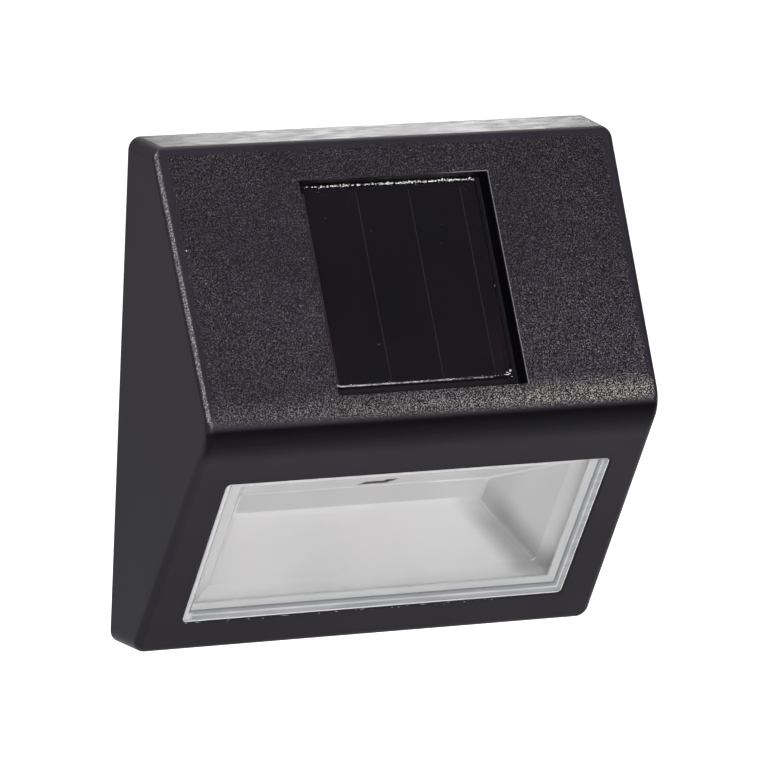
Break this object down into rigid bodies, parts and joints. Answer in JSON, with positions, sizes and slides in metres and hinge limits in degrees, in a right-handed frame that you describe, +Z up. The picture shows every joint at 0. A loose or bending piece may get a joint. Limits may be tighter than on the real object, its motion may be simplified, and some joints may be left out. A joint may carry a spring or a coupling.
{
  "type": "fence light",
  "caption": "Wedge-shaped solar fence light with a sunken solar panel above, a clear lens over a white light well below, and a back cover with keyholes, battery door and slide switch.",
  "frame": {"origin": "middle of the back face, which lies on the fence", "axes": "+X right seen from the front, +Y into the fence, +Z up"},
  "size_m": [0.1, 0.0372, 0.1],
  "materials": {
    "housing_plastic": "charcoal, spark-eroded grain on the slopes, satin sides",
    "cover_plastic": "charcoal, fine matte grain",
    "door_plastic": "charcoal, fine matte grain",
    "black_rubber": "matte",
    "seal_foam": "matte",
    "screw_steel": "zinc plated",
    "clear_lens": "clear, polished",
    "white_reflector": "smooth white",
    "board_laminate": "green solder mask",
    "lamp_case": "white",
    "lamp_phosphor": "yellow gel",
    "chip_plastic": "black epoxy",
    "coil_lacquer": "green lacquer",
    "capacitor_can": "sleeved can",
    "panel_laminate": "dark laminate",
    "cell_film": "thin film, near black",
    "panel_resin": "clear poured resin",
    "panel_sealant": "translucent silicone",
    "cell_can": "plated metal",
    "cell_sleeve": "shrink film",
    "contact_plate": "nickel plated",
    "switch_metal": "tinned",
    "switch_case": "moulded",
    "knob_plastic": "moulded",
    "red_wire": "insulated",
    "black_wire": "insulated",
    "grey_wire": "insulated"
  },
  "bodies": {
    "housing": {"front_housing": "housing_plastic", "back_cover": "cover_plastic", "cover_gasket": "black_rubber", "lens_seal": "seal_foam", "cover_screws": "screw_steel", "reflector_screws": "screw_steel", "lens": "clear_lens", "reflector": "white_reflector", "circuit_board": "board_laminate", "led_package": "lamp_case", "led_phosphor": "lamp_phosphor", "driver_chip": "chip_plastic", "inductor": "coil_lacquer", "capacitors": "capacitor_can", "panel_board": "panel_laminate", "solar_cells": "cell_film", "panel_resin": "panel_resin", "panel_sealant": "panel_sealant", "battery_can": "cell_can", "battery_sleeve": "cell_sleeve", "positive_contact": "contact_plate", "negative_contact": "contact_plate", "battery_spring": "contact_plate", "switch_pins": "contact_plate", "switch_frame": "switch_metal", "switch_body": "switch_case", "panel_wire_red": "red_wire", "battery_wire_red": "red_wire", "panel_wire_black": "black_wire", "battery_wire_black": "black_wire", "switch_wires": "grey_wire"},
    "battery_door": {"battery_door": "door_plastic", "door_seal": "black_rubber", "door_screws": "screw_steel"},
    "switch_knob": {"switch_knob": "knob_plastic"}
  },
  "joints": [
    {"name": "battery_door_lift", "type": "slide", "parent": "housing", "child": "battery_door", "axis": [0, 1, 0], "range_m": [0, 0.03]},
    {"name": "switch_slide", "type": "slide", "parent": "housing", "child": "switch_knob", "axis": [1, 0, 0], "range_m": [0, 0.002]}
  ]
}
